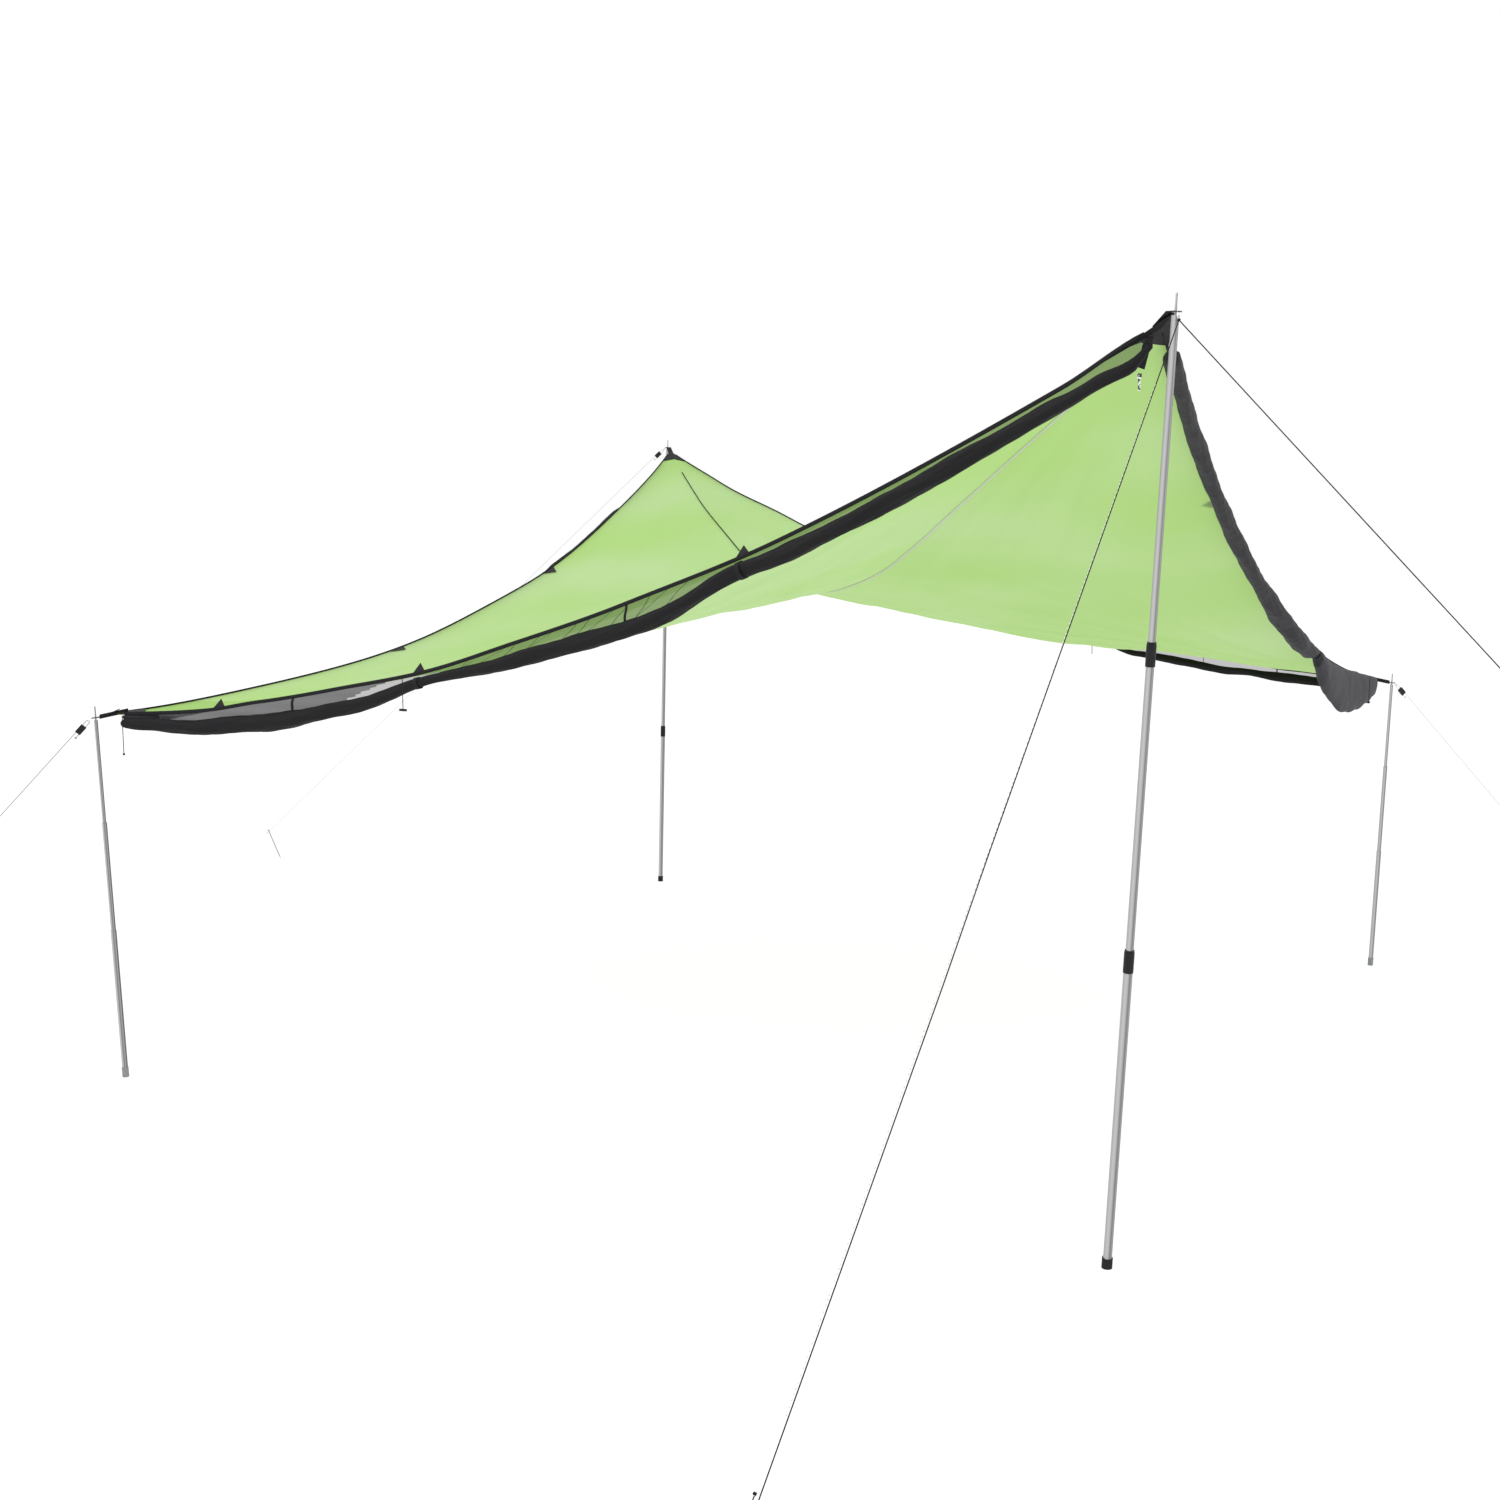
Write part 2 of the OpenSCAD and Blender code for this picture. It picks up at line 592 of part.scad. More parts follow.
// A ground peg whose point is on the ground, with a head above its cord
module ground_peg(peg, out, hole_slope) {
    cord_up = peg[2] / cos(peg_lean);
    point_l = 22;
    color(peg_steel) translate(peg)
        rotate([0, 0, atan2(out[1], out[0])])
            rotate([0, peg_lean, 0])
                difference() {
                    union() {
                        translate([0, 0, point_l - cord_up])
                            cylinder(r = peg_r, h = peg_l - point_l);
                        translate([0, 0, -cord_up]) cylinder(r1 = 0.8, r2 = peg_r, h = point_l);
                        translate([0, 0, peg_l - cord_up]) sphere(r = peg_r + 2);
                    }
                    if (!is_undef(hole_slope)) rotate([0, hole_slope - peg_lean + 90, 0])
                        cylinder(r = cord_d / 2 + 0.3, h = 30, center = true);
                }
}

module ground_pegs() {
    for (g = RING_GUYS) ground_peg(g[1], level(guy_dir(g)), asin(-guy_dir(g)[2]));
    for (g = LOOP_GUYS) ground_peg(g[0], -level(guy_dir(g)));
}

// ---- poles, drawn from the foot up along their own Z ----
module lean(foot, eyelet) {
    along = unit(eyelet - foot);
    translate(foot) rotate([0, acos(along[2]), atan2(along[1], along[0])]) children();
}

module pipe(r, wall, from, to) {
    translate([0, 0, from]) difference() {
        cylinder(r = r, h = to - from);
        translate([0, 0, -1]) cylinder(r = r - wall, h = to - from + 2);
    }
}

// A rubber foot round the end of the lowest section, its face flat on the ground
module pole_foot(foot, eyelet, tube_r, foot_r, height) {
    sole = 9;
    block = 120;
    color(plastic_black) difference() {
        lean(foot, eyelet) translate([0, 0, -5]) rotate([0, 0, 90]) cylinder(r = foot_r, h = height + 5);
        lean(foot, eyelet) translate([0, 0, sole]) cylinder(r = tube_r, h = height);
        translate([foot[0] - block / 2, foot[1] - block / 2, -block]) cube(block);
    }
}

module pole_tube(foot, eyelet, r, from, to, wall = 1) {
    color(alloy) lean(foot, eyelet) pipe(r, wall, from, to);
}

// A twist lock: a grip round the end of the outer tube, with a narrower rim for the inner one
module twist_lock(foot, eyelet, r, outer_r, inner_r, middle) {
    rim_h = 5;
    rim_step = 1;
    mouth = 3.5;
    ribs = 12;
    rib_r = 1.3;
    color(plastic_black) lean(foot, eyelet) translate([0, 0, middle - lock_l / 2]) difference() {
        union() {
            cylinder(r = r, h = lock_l - rim_h);
            cylinder(r = r - rim_step, h = lock_l);
        }
        translate([0, 0, -1]) cylinder(r = outer_r + 0.1, h = lock_l - mouth + 1);
        cylinder(r = inner_r + 0.3, h = lock_l + 1);
        for (k = [0:ribs - 1]) rotate([0, 0, 360 * k / ribs])
            translate([r + 0.9, 0, 6]) cylinder(r = rib_r, h = lock_l - rim_h - 12, $fn = 24);
    }
}

// A guide bush on the lower end of an inner tube, which rides inside the outer tube
module bush(foot, eyelet, outer_bore_r, inner_bore_r, inner_end) {
    color(plastic_black) lean(foot, eyelet) translate([0, 0, inner_end]) {
        translate([0, 0, -12]) cylinder(r = outer_bore_r - 0.1, h = 12);
        cylinder(r = inner_bore_r, h = 14);
    }
}

// The top plug with its pin, which passes through the eyelet
module pole_tip(foot, eyelet, tube_r, length) {
    pin_r = 2.25;
    stem_r = 2.6;
    shoulder = length - 8;
    cap = 6;
    stem_l = 18;
    pin_l = 27;
    color(alloy) lean(foot, eyelet) {
        translate([0, 0, shoulder - cap - 22]) cylinder(r = tube_r - 1, h = 22);
        translate([0, 0, shoulder - cap]) cylinder(r = tube_r, h = cap);
        translate([0, 0, shoulder]) cylinder(r = stem_r, h = stem_l);
        translate([0, 0, shoulder + stem_l]) cylinder(r = pin_r, h = pin_l);
        translate([0, 0, shoulder + stem_l + pin_l]) sphere(r = pin_r, $fn = 24);
    }
}

// Where the tubes of a pole start and end
base_from = 9;
insert_l = 90;
lower_end = lower_lock_z + 24.5;
upper_end = upper_lock_z + 24.5;
short_insert = 70;
tip_cap_z = 14;
short_mid_from = short_base_top - short_insert;
short_top_from = short_mid_top - short_insert;
short_top_to = short_pole - tip_cap_z;
mid_wall = 0.8;

// ---- long poles ----
module front_foot() pole_foot(FRONT_FOOT, FRONT, long_base_r, 13.5, 28);
module front_base_tube() pole_tube(FRONT_FOOT, FRONT, long_base_r, base_from, lower_end);
module front_lower_lock() 
    twist_lock(FRONT_FOOT, FRONT, lower_lock_r, long_base_r, long_mid_r, lower_lock_z);
module front_mid_bush() 
    bush(FRONT_FOOT, FRONT, long_base_r - 1, long_mid_r - mid_wall, lower_end - insert_l);
module front_mid_tube() 
    pole_tube(FRONT_FOOT, FRONT, long_mid_r, lower_end - insert_l, upper_end, mid_wall);
module front_upper_lock() 
    twist_lock(FRONT_FOOT, FRONT, upper_lock_r, long_mid_r, long_top_r, upper_lock_z);
module front_top_bush() 
    bush(FRONT_FOOT, FRONT, long_mid_r - mid_wall, long_top_r - 1, upper_end - insert_l);
module front_top_tube() pole_tube(FRONT_FOOT, FRONT, long_top_r, upper_end - insert_l, long_pole - tip_cap_z);
module front_tip() pole_tip(FRONT_FOOT, FRONT, long_top_r, long_pole);

module rear_foot() pole_foot(REAR_FOOT, REAR, long_base_r, 13.5, 28);
module rear_base_tube() pole_tube(REAR_FOOT, REAR, long_base_r, base_from, lower_end);
module rear_lower_lock() 
    twist_lock(REAR_FOOT, REAR, lower_lock_r, long_base_r, long_mid_r, lower_lock_z);
module rear_mid_bush() 
    bush(REAR_FOOT, REAR, long_base_r - 1, long_mid_r - mid_wall, lower_end - insert_l);
module rear_mid_tube() 
    pole_tube(REAR_FOOT, REAR, long_mid_r, lower_end - insert_l, upper_end, mid_wall);
module rear_upper_lock() 
    twist_lock(REAR_FOOT, REAR, upper_lock_r, long_mid_r, long_top_r, upper_lock_z);
module rear_top_bush() 
    bush(REAR_FOOT, REAR, long_mid_r - mid_wall, long_top_r - 1, upper_end - insert_l);
module rear_top_tube() pole_tube(REAR_FOOT, REAR, long_top_r, upper_end - insert_l, long_pole - tip_cap_z);
module rear_tip() pole_tip(REAR_FOOT, REAR, long_top_r, long_pole);

// ---- short poles ----
module left_foot() pole_foot(LEFT_FOOT, LEFT, short_base_r, 11, 33);
module left_base_tube() pole_tube(LEFT_FOOT, LEFT, short_base_r, base_from, short_base_top);
module left_mid_tube() pole_tube(LEFT_FOOT, LEFT, short_mid_r, short_mid_from, short_mid_top);
module left_top_tube() pole_tube(LEFT_FOOT, LEFT, short_top_r, short_top_from, short_top_to);
module left_tip() pole_tip(LEFT_FOOT, LEFT, short_top_r, short_pole);

module right_foot() pole_foot(RIGHT_FOOT, RIGHT, short_base_r, 11, 33);
module right_base_tube() pole_tube(RIGHT_FOOT, RIGHT, short_base_r, base_from, short_base_top);
module right_mid_tube() pole_tube(RIGHT_FOOT, RIGHT, short_mid_r, short_mid_from, short_mid_top);
module right_top_tube() pole_tube(RIGHT_FOOT, RIGHT, short_top_r, short_top_from, short_top_to);
module right_tip() pole_tip(RIGHT_FOOT, RIGHT, short_top_r, short_pole);

// ---- guylines and what is on them ----
module guy_front_right() guy(FRONT_RIGHT_GUY);
module guy_front_left() guy(FRONT_LEFT_GUY);
module guy_rear_left() guy(REAR_LEFT_GUY);
module guy_left() guy(LEFT_GUY);
module guy_right() guy(RIGHT_GUY);
module lock_front_right() on_guy(FRONT_RIGHT_GUY, lock_at) line_lock();
module lock_front_left() on_guy(FRONT_LEFT_GUY, lock_at) line_lock();
module lock_rear_left() on_guy(REAR_LEFT_GUY, lock_at) line_lock();
module lock_left() on_guy(LEFT_GUY, lock_at) line_lock();
module lock_right() on_guy(RIGHT_GUY, lock_at) line_lock();

module net_front_left() net_wall(0, FRONT_LEFT_ROLL, 44);
module net_front_right() net_wall(1, FRONT_RIGHT_ROLL, 48);
module net_rear_left() net_wall(2, REAR_LEFT_ROLL, 32);
module net_rear_right() {
    net_wall(3, REAR_RIGHT_ROLL, 24);
    net_wall(3, REAR_RIGHT_LOOSE_ROLL, 20);
}
module toggle_front_left_upper() color(plastic_black) toggle(0, 0.674, 106, 34);
module toggle_front_left_lower() color(plastic_black) bead(0, 0.991, 139);
module toggle_rear_left() color(plastic_black) toggle(2, 0.383, 24, -24);
module toggle_front_right() color(plastic_black) toggle(1, 0.9, 115, 68);

canopy();
ridge_piping();
ridge_tape();
edge_hem();
corner_patches();
corner_tabs();
grommets();
tie_out_patches();
net_front_left();
net_front_right();
net_rear_left();
net_rear_right();
roll_ties();
door_strap();
guy_rings();
guy_front_right();
guy_front_left();
guy_rear_left();
guy_left();
guy_right();
guy_knots();
ground_pegs();
lock_front_right();
lock_front_left();
lock_rear_left();
lock_left();
lock_right();
toggle_front_left_upper();
toggle_front_left_lower();
toggle_rear_left();
toggle_front_right();
zip_slider();
front_foot();
front_base_tube();
front_lower_lock();
front_mid_bush();
front_mid_tube();
front_upper_lock();
front_top_bush();
front_top_tube();
front_tip();
rear_foot();
rear_base_tube();
rear_lower_lock();
rear_mid_bush();
rear_mid_tube();
rear_upper_lock();
rear_top_bush();
rear_top_tube();
rear_tip();
left_foot();
left_base_tube();
left_mid_tube();
left_top_tube();
left_tip();
right_foot();
right_base_tube();
right_mid_tube();
right_top_tube();
right_tip();
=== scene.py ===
"""Looks of the tarp shelter, in metres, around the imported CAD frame.

The origin is on the ground under the middle of the ridge, +Y runs along the ridge to the rear,
+X to the right low corner and +Z up.
"""

import math

import bpy
import numpy as np
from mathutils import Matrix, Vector


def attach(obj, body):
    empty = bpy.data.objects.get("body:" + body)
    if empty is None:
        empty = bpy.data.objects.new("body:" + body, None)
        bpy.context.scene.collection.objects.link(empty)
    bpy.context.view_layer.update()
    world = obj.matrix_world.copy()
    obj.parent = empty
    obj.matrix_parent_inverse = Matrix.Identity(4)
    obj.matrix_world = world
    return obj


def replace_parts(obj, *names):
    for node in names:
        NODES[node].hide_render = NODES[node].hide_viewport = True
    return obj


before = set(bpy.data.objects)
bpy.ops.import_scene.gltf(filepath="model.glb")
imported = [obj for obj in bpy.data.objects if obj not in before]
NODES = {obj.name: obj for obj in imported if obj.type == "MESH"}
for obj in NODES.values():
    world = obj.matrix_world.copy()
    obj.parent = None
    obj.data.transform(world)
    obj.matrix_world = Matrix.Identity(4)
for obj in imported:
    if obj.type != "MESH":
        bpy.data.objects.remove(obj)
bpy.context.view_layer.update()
ROOT = "canopy_group"

# ---------------------------------------------------------------- camera
CAMERA_AT = (-1.830, -5.782, 1.795)
HEADING = math.radians(15.24)
PITCH = math.radians(7.2)

camera = bpy.data.objects.new("Camera", bpy.data.cameras.new("Camera"))
bpy.context.scene.collection.objects.link(camera)
camera.location = CAMERA_AT
camera.rotation_euler = (math.radians(90) - PITCH, 0, -HEADING)
camera.data.lens = 38.37
camera.data.sensor_width = 36
camera.data.clip_end = 200
bpy.context.scene.camera = camera
bpy.context.scene.view_settings.view_transform = "Standard"

# ---------------------------------------------------------------- places
UP = np.array([0.0, 0.0, 1.0])
FRONT = np.array([0.0, -2.584, 2.305])
REAR = np.array([0.0, 2.584, 2.319])
LEFT = np.array([-2.553, 0.0, 1.225])
RIGHT = np.array([2.553, 0.0, 1.231])
EYELETS = {"front": FRONT, "rear": REAR, "left": LEFT, "right": RIGHT}
CORNER_IN, RIDGE_DROP, EAVE_RISE = 0.058, 0.022, 0.012
CORNERS = {
    "front": FRONT + [0, CORNER_IN, -RIDGE_DROP],
    "rear": REAR + [0, -CORNER_IN, -RIDGE_DROP],
    "left": LEFT + [CORNER_IN, 0, EAVE_RISE],
    "right": RIGHT + [-CORNER_IN, 0, EAVE_RISE],
}
# Each hem's dip towards the centre, its sag and how far the sag leans to the low corner
CURVES = {
    "front_left": (0.220, 0.185, 0.045),
    "front_right": (0.160, 0.050, 0.120),
    "rear_left": (0.220, 0.215, 0.020),
    "rear_right": (0.220, 0.235, 0.020),
}
SIDES = tuple(CURVES)
MM = 0.001
# Where the hems stand above those curves: place along the hem and height in mm
LIFTS = {
    "front_left": (
        (0, 0), (0.02, 5), (0.07, -8), (0.3, -12), (0.45, 0), (0.56, 4), (0.65, -3), (0.76, 7),
        (0.84, 6), (0.9, -3), (1, 0),
    ),
    "front_right": ((0, 0), (1, 0)),
    "rear_left": ((0, 0), (0.2, 14), (0.38, 2), (0.5, 8), (0.64, 0), (0.84, 10), (1, 0)),
    "rear_right": (
        (0, 0), (0.1, 10), (0.22, 34), (0.4, 30), (0.55, 10), (0.66, -2), (0.7, 16), (0.78, 41),
        (0.84, 36), (0.9, 21), (1, 0),
    ),
}
CREASE_LIFT = 0.195
HEM_H, HEM_T = 0.012, 0.0034


def unit(v):
    v = np.asarray(v, float)
    return v / np.linalg.norm(v, axis=-1, keepdims=True)


def level(v):
    """The level direction of v."""
    return unit([v[0], v[1], 0.0])


def swell(t):
    """0 at both ends and 1 in the middle."""
    return 4 * t * (1 - t)


def outward(side):
    """The level direction from the middle of the cloth to a hem."""
    high, low = side.split("_")
    return level(CORNERS[high] + CORNERS[low])


def smooth_column(rows, t, column):
    """Values between the rows of a table, joined by smooth steps."""
    rows = np.asarray(rows, float)
    t = np.asarray(t, float)
    k = np.clip(np.searchsorted(rows[:, 0], t, side="left") - 1, 0, len(rows) - 2)
    f = np.clip((t - rows[k, 0]) / (rows[k + 1, 0] - rows[k, 0]), 0, 1)
    f = (1 - np.cos(math.pi * f)) / 2
    return rows[k, column] + f * (rows[k + 1, column] - rows[k, column])


def hem(side, t):
    """Points on a hem, t = 0 at its ridge corner and 1 at its low corner."""
    high, low = (CORNERS[k] for k in side.split("_"))
    dip, sag, skew = CURVES[side]
    lift = smooth_column(LIFTS[side], t, 1)[..., None] * MM
    t = np.asarray(t, float)[..., None]
    drop = swell(t) * (sag + skew * (2 * t - 1)) - lift
    return high + t * (low - high) - dip * swell(t) * level(high + low) - drop * UP


def canopy_point(u, v):
    """Points on the cloth: u runs from the front corner to the right one, v to the left one."""
    u, v = np.broadcast_arrays(np.asarray(u, float), np.asarray(v, float))
    a, b = u[..., None], v[..., None]
    corners = (
        (1 - a) * (1 - b) * CORNERS["front"]
        + a * (1 - b) * CORNERS["right"]
        + (1 - a) * b * CORNERS["left"]
        + a * b * CORNERS["rear"]
    )
    p = (
        (1 - b) * hem("front_right", u)
        + b * hem("rear_left", 1 - u)
        + (1 - a) * hem("front_left", v)
        + a * hem("rear_right", 1 - v)
        - corners
    )
    lift = CREASE_LIFT * 4 * np.minimum(u, v) * (1 - np.maximum(u, v))
    return p + lift[..., None] * UP


def side_uv(side, t, inward):
    """u and v of a place t along a hem and a share of the cloth's side in from it."""
    if side == "front_left":
        return inward, t
    if side == "front_right":
        return t, inward
    if side == "rear_left":
        return 1 - t, 1 - inward
    return 1 - inward, 1 - t


# ---------------------------------------------------------------- materials
def material(name, colour, roughness=0.6, metallic=0.0, **sockets):
    """A Principled material; sockets are more of its inputs, with _ for a space."""
    mat = bpy.data.materials.new(name)
    mat.use_nodes = True
    shader = mat.node_tree.nodes["Principled BSDF"]
    shader.inputs["Base Color"].default_value = (*colour, 1)
    shader.inputs["Roughness"].default_value = roughness
    shader.inputs["Metallic"].default_value = metallic
    for socket, value in sockets.items():
        shader.inputs[socket.replace("_", " ")].default_value = value
    return mat


def dark(name, grey, roughness=0.7):
    """A near-black textile or plastic that hardly mirrors the bright room."""
    return material(name, (grey, grey, grey * 1.15), roughness, Specular_IOR_Level=0.18)


def add_bump(mat, scale, strength, distance=0.001):
    """Fine unevenness of the surface from a noise."""
    tree = mat.node_tree
    place = tree.nodes.new("ShaderNodeTexCoord")
    noise = tree.nodes.new("ShaderNodeTexNoise")
    noise.inputs["Scale"].default_value = scale
    bump = tree.nodes.new("ShaderNodeBump")
    bump.inputs["Strength"].default_value = strength
    bump.inputs["Distance"].default_value = distance
    tree.links.new(place.outputs["Object"], noise.inputs["Vector"])
    tree.links.new(noise.outputs["Fac"], bump.inputs["Height"])
    tree.links.new(bump.outputs["Normal"], tree.nodes["Principled BSDF"].inputs["Normal"])
    return mat


def painted_reflection_streaks(mat):
    """Painted reflections: bright and dark streaks along a tube, set by which way its surface faces."""
    tree = mat.node_tree
    place = tree.nodes.new("ShaderNodeTexCoord")
    axes = tree.nodes.new("ShaderNodeSeparateXYZ")
    ramp = tree.nodes.new("ShaderNodeValToRGB")
    stretch = tree.nodes.new("ShaderNodeMapRange")
    stretch.inputs["From Min"].default_value = -1.0
    stretch.inputs["From Max"].default_value = 1.0
    tree.links.new(place.outputs["Normal"], axes.inputs["Vector"])
    tree.links.new(axes.outputs["X"], stretch.inputs["Value"])
    tree.links.new(stretch.outputs["Result"], ramp.inputs["Fac"])
    # Greys of the painted reflections, round the tube from one side to the other
    stops = (
        (0.0, 0.40), (0.14, 0.50), (0.30, 0.42), (0.44, 0.20), (0.58, 0.22), (0.70, 0.34),
        (0.82, 0.20), (0.91, 0.04), (1.0, 0.30),
    )
    for k, (at, grey) in enumerate(stops):
        stop = ramp.color_ramp.elements[k] if k < 2 else ramp.color_ramp.elements.new(at)
        stop.position = at
        stop.color = (grey, grey, grey * 1.01, 1)
    tree.links.new(ramp.outputs["Color"], tree.nodes["Principled BSDF"].inputs["Base Color"])
    return mat


def speckled(mat, scale, low, high, at=0.5, blend=0.02):
    """Two tones of the base colour, shared out by a noise."""
    tree = mat.node_tree
    place = tree.nodes.new("ShaderNodeTexCoord")
    noise = tree.nodes.new("ShaderNodeTexNoise")
    noise.inputs["Scale"].default_value = scale
    ramp = tree.nodes.new("ShaderNodeValToRGB")
    for stop, shift, colour in zip(ramp.color_ramp.elements, (-blend, blend), (low, high)):
        stop.position = at + shift
        stop.color = (*colour, 1)
    tree.links.new(place.outputs["Object"], noise.inputs["Vector"])
    tree.links.new(noise.outputs["Fac"], ramp.inputs["Fac"])
    tree.links.new(ramp.outputs["Color"], tree.nodes["Principled BSDF"].inputs["Base Color"])
    return mat


def mix_with(mat, kind, share, colour=None):
    """Mixes the material's Principled shader with a Translucent or Transparent one."""
    tree = mat.node_tree
    other = tree.nodes.new(kind)
    if colour:
        other.inputs["Color"].default_value = (*colour, 1)
    mix = tree.nodes.new("ShaderNodeMixShader")
    mix.inputs[0].default_value = share
    tree.links.new(tree.nodes["Principled BSDF"].outputs[0], mix.inputs[1])
    tree.links.new(other.outputs[0], mix.inputs[2])
    tree.links.new(mix.outputs[0], tree.nodes["Material Output"].inputs["Surface"])
    return mat


cloth = mix_with(
    speckled(
        material("cloth", (0.40, 0.60, 0.24), 0.5), 1.1, (0.37, 0.59, 0.18), (0.47, 0.64, 0.34), 0.5, 0.13
    ),
    "ShaderNodeBsdfTranslucent",
    0.45,
    (0.37, 0.60, 0.16),
)
# Darker, more saturated cloth: the doubled hem, and on the front left also painted shade where the cloth
# turns down
cloth_doubled_or_shade = mix_with(
    material("cloth_doubled_or_shade", (0.33, 0.55, 0.14), 0.5),
    "ShaderNodeBsdfTranslucent",
    0.45,
    (0.27, 0.52, 0.07),
)
tape = mix_with(
    material("seam_tape", (0.62, 0.66, 0.58), 0.5), "ShaderNodeBsdfTranslucent", 0.3, (0.7, 0.75, 0.65)
)
webbing = add_bump(dark("webbing", 0.010), 900, 0.5)
patch_cloth = add_bump(dark("patch_cloth", 0.018), 600, 0.3)
roll_cloth = add_bump(dark("roll_cloth", 0.008), 14, 0.8, 0.008)
# Lighter copies of the roll net: painted light, half on the upper part of the front right roll and full
# on its hanging bag
roll_cloth_half_lit = add_bump(dark("roll_cloth_half_lit", 0.019, 0.62), 11, 0.8, 0.010)
roll_cloth_lit = add_bump(dark("roll_cloth_painted_light", 0.042, 0.62), 11, 0.8, 0.010)
net_sheer = mix_with(dark("net_sheer", 0.02), "ShaderNodeBsdfTransparent", 0.50)
net_dense = mix_with(
    material("net_dense", (0.05, 0.05, 0.055), 0.8), "ShaderNodeBsdfTransparent", 0.13
)
cord_black = dark("cord_black", 0.012)
cord_grey = material("cord_grey", (0.23, 0.23, 0.24), 0.7)
cord_pale = material("cord_pale", (0.55, 0.56, 0.57), 0.7)
plastic = dark("plastic", 0.012, 0.42)
ring_plastic = material("ring_plastic", (0.72, 0.74, 0.72), 0.3)
rubber = dark("rubber", 0.012)
ferrule = material("ferrule", (0.20, 0.21, 0.22), 0.5)
# The poles' bright and dark streaks are painted reflections
alloy = painted_reflection_streaks(material("alloy", (0.5, 0.5, 0.5), 0.45, 0.75))
eyelet = material("eyelet", (0.60, 0.60, 0.58), 0.3, 1.0)
beads = speckled(material("beads", (0.3, 0.3, 0.3), 0.3), 170, (0.01, 0.01, 0.012), (0.7, 0.72, 0.7))
peg_steel = material("peg_steel", (0.45, 0.46, 0.48), 0.4, 1.0)
cord_fleck = material("cord_fleck", (0.75, 0.76, 0.77), 0.6)


# ---------------------------------------------------------------- mesh helpers
def new_mesh(name, verts, faces, mats, body=ROOT, smooth=True, faces_mat=None):
    """A mesh object that rides on a body."""
    mesh = bpy.data.meshes.new(name)
    mesh.from_pydata([tuple(p) for p in np.asarray(verts).reshape(-1, 3)], [], faces)
    mesh.validate()
    for m in mats if isinstance(mats, (list, tuple)) else [mats]:
        mesh.materials.append(m)
    if smooth:
        mesh.polygons.foreach_set("use_smooth", [True] * len(mesh.polygons))
    if faces_mat is not None:
        mesh.polygons.foreach_set("material_index", faces_mat)
    mesh.update()
    obj = bpy.data.objects.new(name, mesh)
    bpy.context.scene.collection.objects.link(obj)
    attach(obj, body)
    return obj


def grid_faces(rows, cols, wrap=False):
    """Quads between the rows of a grid; wrap closes each row into a ring."""
    faces = []
    for i in range(rows - 1):
        for j in range(cols if wrap else cols - 1):
            k = (j + 1) % cols
            faces.append((i * cols + j, i * cols + k, (i + 1) * cols + k, (i + 1) * cols + j))
    return faces


def sheet(name, grid, mat, thickness=0.0, body=ROOT, at=0.0):
    """An open or closed sheet through a grid of points, moved up by at."""
    rows, cols = grid.shape[:2]
    low = grid + UP * at
    if not thickness:
        return new_mesh(name, low, grid_faces(rows, cols), mat, body)
    high = low + UP * thickness
    ring = np.concatenate([low, high[:, ::-1]], axis=1)
    n = 2 * cols
    faces = grid_faces(rows, n, wrap=True)
    for row in (0, rows - 1):
        for j in range(cols - 1):
            quad = [row * n + k for k in (j, j + 1, n - 2 - j, n - 1 - j)]
            faces.append(tuple(quad if row else quad[::-1]))
    return new_mesh(name, ring, faces, mat, body, smooth=False)


def rings_mesh(name, rings, mat, body=ROOT):
    """A closed tube through rings of points."""
    rows, cols = rings.shape[:2]
    faces = grid_faces(rows, cols, wrap=True)
    faces.append(tuple(range(cols - 1, -1, -1)))
    faces.append(tuple((rows - 1) * cols + j for j in range(cols)))
    return new_mesh(name, rings, faces, mat, body)


def tangents(points):
    d = np.gradient(np.asarray(points, float), axis=0)
    return unit(d)


def tube_rings(points, radius, sides=10, normal=None):
    """Rings of a round tube along points. normal is a direction across all of them."""
    points = np.asarray(points, float)
    t = tangents(points)
    if normal is None:
        normal = [0, 0, 1.0] if abs(t[0][2]) < 0.9 else [1.0, 0, 0]
    side = np.empty_like(points)
    last = np.asarray(normal, float)
    for i in range(len(points)):
        last = last - np.dot(last, t[i]) * t[i]
        last = last / np.linalg.norm(last)
        side[i] = last
    other = np.cross(t, side)
    a = np.linspace(0, 2 * math.pi, sides, endpoint=False)
    radius = np.broadcast_to(np.asarray(radius, float), len(points))
    return points[:, None] + radius[:, None, None] * (
        np.cos(a)[None, :, None] * side[:, None] + np.sin(a)[None, :, None] * other[:, None]
    )


def tube(name, points, radius, mat, sides=10, body=ROOT, normal=None):
    """A round tube along points."""
    return rings_mesh(name, tube_rings(points, radius, sides, normal), mat, body)


def join(name, objects):
    """Joins pieces into one object that keeps their materials."""
    bpy.context.view_layer.update()
    for o in bpy.context.selected_objects:
        o.select_set(False)
    for o in objects:
        o.select_set(True)
    bpy.context.view_layer.objects.active = objects[0]
    bpy.ops.object.join()
    objects[0].name = name
    objects[0].data.name = name
    return objects[0]


